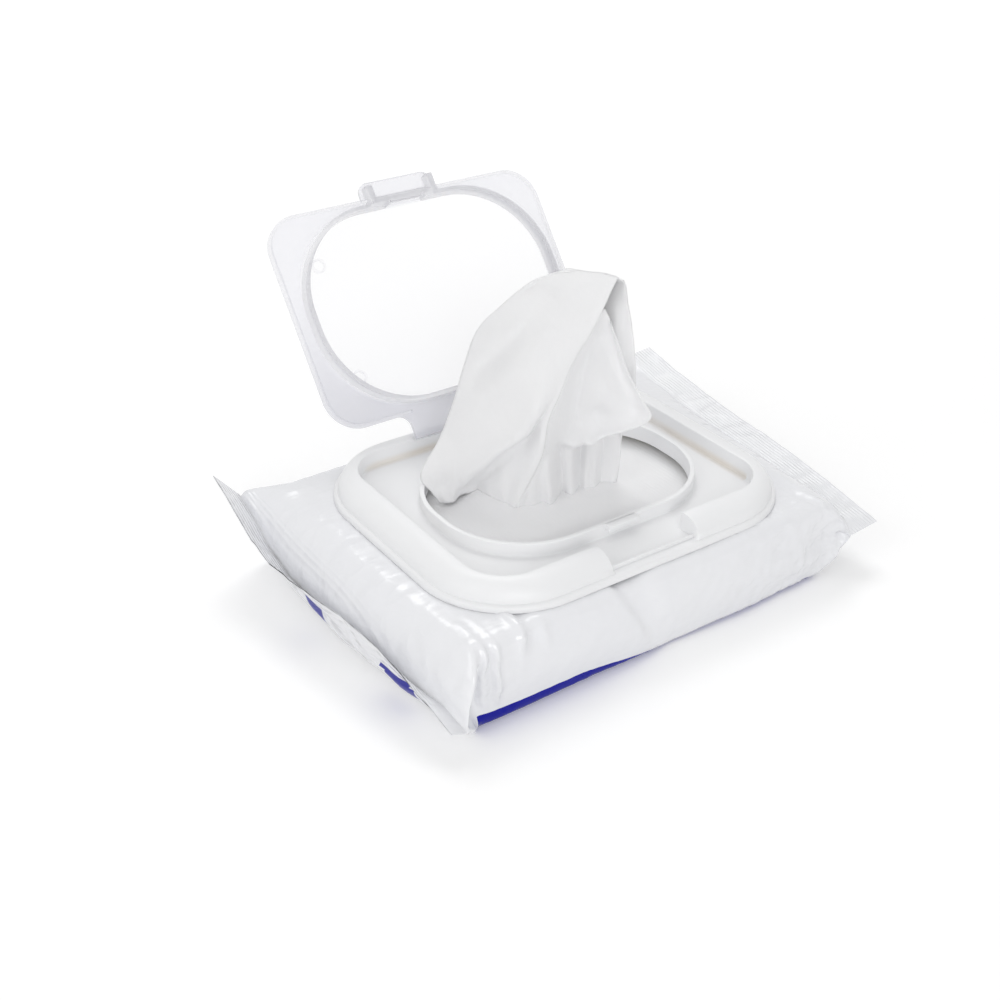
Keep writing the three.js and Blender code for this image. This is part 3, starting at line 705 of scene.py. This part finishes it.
def cloth_panel(guides, rows, columns, gather, seed):
    """A smooth panel through its guide points. Its folds and ripples fade out at both sides."""
    grid = np.array([spline_row(row, columns) for row in spline_row(guides, rows)])
    for i in range(rows):
        for j in range(columns):
            across, up, away = grid[i, j]
            from_side = min(j, columns - 1 - j)
            if guides is FRONT_PANEL:
                away += drape_fold(across, up) * smooth(from_side / 9)
            elif guides is HOOD_PANEL:
                away += hood_fold(across, up) * smooth(from_side / 7)
            grid[i, j, 2] = away + ripple(across, up, away, gather, seed) * smooth(from_side / 3)
    return grid


def follow_crease(grid, crease):
    """Pulls a panel's first columns onto the edge of the panel beside it, so that the cloth is whole."""
    for i in range(grid.shape[0]):
        up = grid[i, 0, 1]
        across = np.interp(up, crease[:, 1], crease[:, 0])
        away = np.interp(up, crease[:, 1], crease[:, 2])
        shift = np.array([across - grid[i, 0, 0], 0.0, away - grid[i, 0, 2]])
        for j in range(12):
            grid[i, j] += shift * (1 - smooth(j / 11))


def wipe_piece():
    points, faces = [], []
    # guide points, rows, columns, depth of the tufts, seed, and whether the faces are flipped
    panels = [
        (FRONT_PANEL, 70, 56, 0.2, 1.3, False),
        (HOOD_PANEL, 90, 56, 0.5, 4.1, False),
        (INNER_PANEL, 44, 28, 0.0, 7.7, False),
        (BACK_PANEL, 70, 48, 0.5, 9.2, True),
    ]
    crease = None
    for guides, rows, columns, gather, seed, flip in panels:
        grid = cloth_panel(guides, rows, columns, gather, seed)
        if guides is FRONT_PANEL:
            crease = grid[:, -1].copy()
        elif guides is HOOD_PANEL:
            follow_crease(grid, crease)
        start = len(points)
        for across, up, away in grid.reshape(-1, 3):
            spot = ACROSS * across + AWAY * away
            points.append((spot.x, spot.y, max(DECK + up, CLOTH_FOOT)))
        faces += grid_faces(rows, columns, start=start, flip=flip)
    obj = make_object("pulled_cloth", points, faces, "packet")
    thick = obj.modifiers.new("thickness", "SOLIDIFY")
    thick.thickness = CLOTH_THICKNESS
    thick.offset = 0
    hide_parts("pulled_wipe")
    return obj


# Materials

def material(name, colour, roughness, **extra):
    mat = bpy.data.materials.new(name)
    mat.use_nodes = True
    shader = mat.node_tree.nodes["Principled BSDF"]
    shader.inputs["Base Color"].default_value = (*colour, 1)
    shader.inputs["Roughness"].default_value = roughness
    for key, value in extra.items():
        shader.inputs[key.replace("_", " ")].default_value = value
    return mat, mat.node_tree, shader


def add_node(tree, kind, **settings):
    node = tree.nodes.new(kind)
    for key, value in settings.items():
        setattr(node, key, value)
    return node


def math_node(tree, operation, a, b=None):
    node = add_node(tree, "ShaderNodeMath", operation=operation)
    for index, value in enumerate((a, b)):
        if value is None:
            continue
        if isinstance(value, (int, float)):
            node.inputs[index].default_value = value
        else:
            tree.links.new(value, node.inputs[index])
    return node.outputs[0]


def plus(tree, a, b):
    return math_node(tree, "ADD", a, b)


def minus(tree, a, b):
    return math_node(tree, "SUBTRACT", a, b)


def times(tree, a, b):
    return math_node(tree, "MULTIPLY", a, b)


def larger(tree, a, b):
    return math_node(tree, "MAXIMUM", a, b)


def less(tree, a, b):
    return math_node(tree, "LESS_THAN", a, b)


def absolute(tree, a):
    return math_node(tree, "ABSOLUTE", a)


def distance(tree, a, b):
    squares = plus(tree, math_node(tree, "POWER", a, 2.0), math_node(tree, "POWER", b, 2.0))
    return math_node(tree, "SQRT", squares)


def seen_rays(tree):
    """1 for rays from the camera, and for those it sees in gloss or through the clear lid."""
    rays = add_node(tree, "ShaderNodeLightPath")
    indirect = larger(tree, rays.outputs["Is Glossy Ray"], rays.outputs["Is Transmission Ray"])
    return larger(tree, rays.outputs["Is Camera Ray"], indirect)


def place_xyz(tree):
    place = add_node(tree, "ShaderNodeTexCoord")
    split = add_node(tree, "ShaderNodeSeparateXYZ")
    tree.links.new(place.outputs["Object"], split.inputs[0])
    return place.outputs["Object"], split.outputs[0], split.outputs[1], split.outputs[2]


def ramp(tree, value, start, end, low, high):
    """A straight change from low to high between start and end, and level outside them."""
    node = add_node(tree, "ShaderNodeMapRange")
    tree.links.new(value, node.inputs["Value"])
    for key, amount in (("From Min", start), ("From Max", end), ("To Min", low), ("To Max", high)):
        node.inputs[key].default_value = amount
    return node.outputs["Result"]


def step_up(tree, value, start, end):
    """A smooth change from 0 to 1 between start and end."""
    node = add_node(tree, "ShaderNodeMapRange", interpolation_type="SMOOTHSTEP")
    tree.links.new(value, node.inputs["Value"])
    node.inputs["From Min"].default_value = start
    node.inputs["From Max"].default_value = end
    return node.outputs["Result"]


def scaled(tree, place, scale):
    mapping = add_node(tree, "ShaderNodeMapping")
    mapping.inputs["Scale"].default_value = scale
    tree.links.new(place, mapping.inputs["Vector"])
    return mapping.outputs["Vector"]


def noise_node(tree, place, scale, detail=2.0, rough=0.5):
    texture = add_node(tree, "ShaderNodeTexNoise")
    texture.inputs["Scale"].default_value = scale
    texture.inputs["Detail"].default_value = detail
    texture.inputs["Roughness"].default_value = rough
    tree.links.new(place, texture.inputs["Vector"])
    return texture.outputs["Fac"]


def bump_chain(tree, shader, layers):
    """layers: (height socket, distance in metres, strength), each added to the one before."""
    before = None
    for height, distance, strength in layers:
        bump = add_node(tree, "ShaderNodeBump")
        bump.inputs["Distance"].default_value = distance
        bump.inputs["Strength"].default_value = strength
        tree.links.new(height, bump.inputs["Height"])
        if before:
            tree.links.new(before, bump.inputs["Normal"])
        before = bump.outputs["Normal"]
    tree.links.new(before, shader.inputs["Normal"])


def mix_colour(tree, fac, a, b):
    mix = add_node(tree, "ShaderNodeMix", data_type="RGBA")
    for socket, value in ((mix.inputs[6], a), (mix.inputs[7], b)):
        if isinstance(value, tuple):
            socket.default_value = (*value, 1)
        else:
            tree.links.new(value, socket)
    tree.links.new(fac, mix.inputs[0])
    return mix.outputs[2]


PRINT_BLUE = (0.006, 0.008, 0.30)
PRINT_SPECULAR = 0.12
FILM_SPECULAR = 0.6
CRIMP_PITCH = 0.00095


def print_band(tree, place, x, y, z):
    """The printed band under the front edge, wide at the left and thinning to a line at the right."""
    height = ramp(tree, x, -0.022, 0.002, 0.0046, 0.0009)
    wave = times(tree, minus(tree, noise_node(tree, place, 45, 1), 0.5), 0.0016)
    below = less(tree, z, plus(tree, height, wave))
    from_left = math_node(tree, "GREATER_THAN", x, -0.0535)
    return times(tree, times(tree, below, less(tree, y, -0.0465)), from_left)


def crimp_ribs(tree, place, x):
    """Fine ribs across both crimped ends, fainter in patches."""
    ribs = math_node(tree, "SINE", times(tree, x, 2 * math.pi / CRIMP_PITCH))
    patches = step_up(tree, noise_node(tree, place, 300, 2), 0.25, 0.55)
    return times(tree, ribs, times(tree, step_up(tree, absolute(tree, x), 0.0616, 0.0640), patches))


def fine_creases(tree, place, x, y):
    """Small facets in the film, deepest near both ends and in the right half of the front face."""
    cells = add_node(tree, "ShaderNodeTexVoronoi", feature="DISTANCE_TO_EDGE")
    cells.inputs["Scale"].default_value = 130
    tree.links.new(scaled(tree, place, (0.6, 1.0, 1.0)), cells.inputs["Vector"])
    facets = step_up(tree, cells.outputs["Distance"], 0.0, 0.35)
    right_front = times(tree, step_up(tree, x, 0.0, 0.05), less(tree, y, -0.046))
    where = larger(tree, step_up(tree, absolute(tree, x), 0.044, 0.062), right_front)
    return times(tree, facets, plus(tree, times(tree, where, 0.85), 0.15))


def film_material():
    mat, tree, shader = material("film_gloss", (0.84, 0.845, 0.87), 0.2)
    place, x, y, z = place_xyz(tree)
    white = mix_colour(tree, noise_node(tree, place, 60, 3), (0.825, 0.83, 0.858), (0.86, 0.865, 0.883))
    band = print_band(tree, place, x, y, z)
    tree.links.new(mix_colour(tree, band, white, PRINT_BLUE), shader.inputs["Base Color"])
    specular = minus(tree, FILM_SPECULAR, times(tree, band, FILM_SPECULAR - PRINT_SPECULAR))
    tree.links.new(specular, shader.inputs["Specular IOR Level"])
    wide = noise_node(tree, scaled(tree, place, (0.5, 1.0, 1.0)), 70, 4, 0.6)
    fine = fine_creases(tree, place, x, y)
    ribs = crimp_ribs(tree, place, x)
    bump_chain(tree, shader, [(wide, 0.0010, 0.5), (fine, 0.0005, 0.45), (ribs, 0.00010, 0.6)])
    return mat


def painted_warm_reflection(tree, place, x, y, z):
    """Painted warm reflection: warm light painted at the foot of the recess's side and back walls."""
    side = absolute(tree, x)
    low = minus(tree, 1.0, step_up(tree, z, 0.0258, 0.0278))
    at_wall = larger(tree, step_up(tree, side, 0.0402, 0.0424), step_up(tree, y, 0.0176, 0.0198))
    in_depth = math_node(tree, "COMPARE", y, -0.0095)
    in_depth.node.inputs[2].default_value = 0.0305
    inside = times(tree, less(tree, side, 0.0436), in_depth)
    inside = times(tree, inside, less(tree, plus(tree, side, y), 0.060))
    uneven = times(tree, noise_node(tree, place, 60, 1), 0.8)
    return times(tree, times(tree, times(tree, low, at_wall), inside), uneven)


def base_material():
    mat, tree, shader = material("milky_plastic", (0.865, 0.868, 0.878), 0.4, Subsurface_Weight=0.12,
                                 Subsurface_Scale=0.002, Subsurface_Radius=(1, 1, 1))
    place, x, y, z = place_xyz(tree)
    white = mix_colour(tree, noise_node(tree, place, 35, 2), (0.855, 0.86, 0.872), (0.875, 0.878, 0.885))
    # painted warm reflected light at the foot of the recess walls, mixed into the plastic's white
    warm_reflection_share = painted_warm_reflection(tree, place, x, y, z)
    tree.links.new(mix_colour(tree, warm_reflection_share, white, (0.72, 0.62, 0.48)), shader.inputs["Base Color"])
    grain, waves = noise_node(tree, place, 900, 2), noise_node(tree, place, 40, 1)
    bump_chain(tree, shader, [(grain, 0.00003, 0.5), (waves, 0.0004, 0.15)])
    return mat


# Places on the lid, in metres: along it from the hinge, and across it from its middle line
HINGE = Vector(frame["joints"][0]["pos_m"])
OPEN = math.radians(128)
RING_CENTRE = 0.03565
RING_STRAIGHT_X = 0.0152
RING_STRAIGHT_ALONG = 0.0042
GATE_X = -0.0299
GATE_CENTRE = 0.0351
GATE_OFFSET = 0.0156


def off_ring_core(tree, x, along):
    """Distance from the straight core that the lid's sealing ring runs round."""
    side = larger(tree, minus(tree, absolute(tree, x), RING_STRAIGHT_X), 0.0)
    off_centre = absolute(tree, minus(tree, along, RING_CENTRE))
    return distance(tree, side, larger(tree, minus(tree, off_centre, RING_STRAIGHT_ALONG), 0.0))


def gate_marks(tree, x, along):
    """The two round marks that moulding leaves."""
    off_gate = minus(tree, absolute(tree, minus(tree, along, GATE_CENTRE)), GATE_OFFSET)
    far = distance(tree, minus(tree, x, GATE_X), off_gate)
    rim = absolute(tree, minus(tree, far, 0.0017))
    return times(tree, minus(tree, 1.0, step_up(tree, rim, 0.0001, 0.0005)), 0.16)


def lid_bumps(tree, shader, place):
    grain, waves = noise_node(tree, place, 700, 2), noise_node(tree, place, 30, 1)
    bump_chain(tree, shader, [(grain, 0.00003, 0.4), (waves, 0.0004, 0.2)])


def lid_panel_material():
    """Clear inside the sealing ring, frosted round it and denser towards the hinge."""
    mat, tree, shader = material("frosted_panel", (0.86, 0.86, 0.93), 0.22)
    place, x, y, z = place_xyz(tree)
    reach_y = times(tree, minus(tree, y, HINGE.y), -math.cos(OPEN))
    reach_z = times(tree, minus(tree, z, HINGE.z), math.sin(OPEN))
    along = plus(tree, reach_y, reach_z)
    outside = step_up(tree, off_ring_core(tree, x, along), 0.0215, 0.0228)
    near_hinge = minus(tree, 1.0, step_up(tree, along, 0.004, 0.046))
    shade = times(tree, near_hinge, outside)
    tone = mix_colour(tree, shade, (0.89, 0.89, 0.955), (0.74, 0.74, 0.79))
    tone = mix_colour(tree, noise_node(tree, place, 50, 2), tone, (0.89, 0.89, 0.94))
    tree.links.new(tone, shader.inputs["Base Color"])
    frost = times(tree, outside, plus(tree, times(tree, shade, 0.26), 0.24))
    haze = plus(tree, plus(tree, frost, times(tree, near_hinge, 0.06)), 0.05)
    tree.links.new(plus(tree, haze, gate_marks(tree, x, along)), shader.inputs["Alpha"])
    lid_bumps(tree, shader, place)
    return mat


def lid_wall_material(name, alpha, dark, light):
    mat, tree, shader = material(name, dark, 0.22, Alpha=alpha)
    place = place_xyz(tree)[0]
    tone = mix_colour(tree, noise_node(tree, place, 50, 2), dark, light)
    tree.links.new(tone, shader.inputs["Base Color"])
    lid_bumps(tree, shader, place)
    return mat


def wipe_material():
    mat, tree, shader = material("nonwoven", (0.90, 0.90, 0.91), 0.95, Sheen_Weight=0.1, Sheen_Roughness=0.5,
                                 Subsurface_Weight=0.15, Subsurface_Scale=0.002, Subsurface_Radius=(1, 1, 1))
    place = place_xyz(tree)[0]
    tone = mix_colour(tree, noise_node(tree, place, 120, 4), (0.88, 0.88, 0.893), (0.925, 0.925, 0.93))
    tree.links.new(tone, shader.inputs["Base Color"])
    fibres = noise_node(tree, scaled(tree, place, (1.0, 1.0, 0.35)), 1500, 4, 0.7)
    lines = add_node(tree, "ShaderNodeTexWave", wave_type="BANDS", bands_direction="X")
    lines.inputs["Scale"].default_value = 260
    lines.inputs["Distortion"].default_value = 2.5
    lines.inputs["Detail"].default_value = 2
    tree.links.new(place, lines.inputs["Vector"])
    cloudy, threads = noise_node(tree, place, 160, 3), lines.outputs["Fac"]
    bump_chain(tree, shader, [(cloudy, 0.0006, 0.45), (threads, 0.00006, 0.3), (fibres, 0.00007, 0.5)])
    return mat


def adhesive_material():
    mat, tree, shader = material("foam_adhesive", (0.80, 0.77, 0.68), 0.7)
    grain = noise_node(tree, place_xyz(tree)[0], 800, 3)
    bump_chain(tree, shader, [(grain, 0.0001, 0.4)])
    return mat


def dress(obj, mat):
    obj.data.materials.clear()
    obj.data.materials.append(mat)


def lid_look(poly):
    """0 for the flat panel and the gate marks, 1 for the ring and the latch, 2 for the outer edge."""
    panel_normal = Vector((0, math.sin(OPEN), math.cos(OPEN)))
    reach = Vector((0, -math.cos(OPEN), math.sin(OPEN)))
    spot = poly.center - HINGE
    along, high = spot.dot(reach), spot.dot(panel_normal)
    off_gate = abs(along - GATE_CENTRE) - GATE_OFFSET
    if math.hypot(spot.x - GATE_X, off_gate) < 0.0019:
        return 0
    if abs(poly.normal.dot(panel_normal)) >= 0.7 and high >= -0.001:
        return 0
    side = max(abs(spot.x) - RING_STRAIGHT_X, 0.0)
    off_centre = max(abs(along - RING_CENTRE) - RING_STRAIGHT_ALONG, 0.0)
    on_ring = math.hypot(side, off_centre) < 0.0242
    on_latch = along > 0.0585 and abs(spot.x) < 0.0125
    return 1 if on_ring or on_latch else 2


def dress_lid(obj):
    dress(obj, lid_panel_material())
    ring = lid_wall_material("frosted_ring", 0.62, (0.70, 0.70, 0.735), (0.78, 0.78, 0.81))
    edge = lid_wall_material("frosted_edge", 0.26, (0.74, 0.74, 0.79), (0.80, 0.80, 0.85))
    obj.data.materials.append(ring)
    obj.data.materials.append(edge)
    for poly in obj.data.polygons:
        poly.material_index = lid_look(poly)


def dress_film(obj, printed):
    """White film, and the same blue print in two places on the outer face of the left end."""
    dress(obj, film_material())
    obj.data.materials.append(material("film_print", PRINT_BLUE, 0.3, Specular_IOR_Level=PRINT_SPECULAR)[0])
    for poly, mark in zip(obj.data.polygons, printed):
        poly.material_index = 1 if mark else 0


film, film_print = film_piece()
base = base_piece()
lid = lid_piece()
stack = stack_piece()
wipe = wipe_piece()
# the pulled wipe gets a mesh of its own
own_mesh(wipe)

cloth_look = wipe_material()
dress_film(film, film_print)
dress(base, base_material())
dress_lid(lid)
dress(stack, cloth_look)
dress(wipe, cloth_look)
dress(nodes["adhesive_pad"], adhesive_material())


# Floor, world and lamps
FLOOR_HALF = 4
WORLD_LIGHT = 0.60


def floor_piece():
    mesh = bpy.data.meshes.new("floor")
    corners = [(-1, -1), (1, -1), (1, 1), (-1, 1)]
    mesh.from_pydata([(FLOOR_HALF * x, FLOOR_HALF * y, 0) for x, y in corners], [], [(0, 1, 2, 3)])
    obj = bpy.data.objects.new("floor", mesh)
    bpy.context.scene.collection.objects.link(obj)
    obj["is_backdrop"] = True
    mat = bpy.data.materials.new("pale_floor")
    mat.use_nodes = True
    tree = mat.node_tree
    tree.nodes.clear()
    out = add_node(tree, "ShaderNodeOutputMaterial")
    diffuse = add_node(tree, "ShaderNodeBsdfDiffuse")
    glow = add_node(tree, "ShaderNodeEmission")
    diffuse.inputs["Color"].default_value = (0.95, 0.95, 0.95, 1)
    # the glow grows with the distance, so that the floor ends as white as the background
    place, x, y, z = place_xyz(tree)
    level = plus(tree, times(tree, step_up(tree, distance(tree, x, y), 0.2, 1.2), 0.3), 0.14)
    tree.links.new(times(tree, seen_rays(tree), level), glow.inputs["Strength"])
    both = add_node(tree, "ShaderNodeAddShader")
    tree.links.new(diffuse.outputs[0], both.inputs[0])
    tree.links.new(glow.outputs[0], both.inputs[1])
    tree.links.new(both.outputs[0], out.inputs["Surface"])
    mesh.materials.append(mat)


def world_light():
    world = bpy.data.worlds.new("studio")
    bpy.context.scene.world = world
    world.use_nodes = True
    tree = world.node_tree
    background = tree.nodes["Background"]
    background.inputs["Color"].default_value = (1, 1, 1, 1)
    # dimmer as a light than as the background that is seen
    strength = ramp(tree, seen_rays(tree), 0.0, 1.0, WORLD_LIGHT, 1.0)
    tree.links.new(strength, background.inputs["Strength"])


def soft_lamp(name, place, target, size, power):
    data = bpy.data.lights.new(name, "AREA")
    data.shape = "SQUARE"
    data.size = size
    data.energy = power
    obj = bpy.data.objects.new(name, data)
    obj.location = place
    obj.rotation_euler = (Vector(target) - Vector(place)).to_track_quat("-Z", "Y").to_euler()
    bpy.context.scene.collection.objects.link(obj)


floor_piece()
world_light()
lamp_target = (0, 0, 0.02)
soft_lamp("key", (0.25, 0.45, 0.85), lamp_target, 0.5, 2.5)
soft_lamp("side", (-0.75, -0.15, 0.5), lamp_target, 0.45, 0.9)
soft_lamp("front", (-0.4, -0.92, 0.38), lamp_target, 0.4, 2.5)

camera = bpy.data.objects.new("camera", bpy.data.cameras.new("camera"))
bpy.context.scene.collection.objects.link(camera)
camera.data.sensor_width = 36
camera.data.lens = 49.64
camera.location = (-0.1833, -0.25695, 0.2052)
camera.rotation_euler = (math.radians(90 - 31.24), 0, CAMERA_TURN)
bpy.context.scene.camera = camera
bpy.context.scene.view_settings.view_transform = "Standard"

final_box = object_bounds()
str([[list(corner) for corner in box] for box in (cad_box, final_box)])
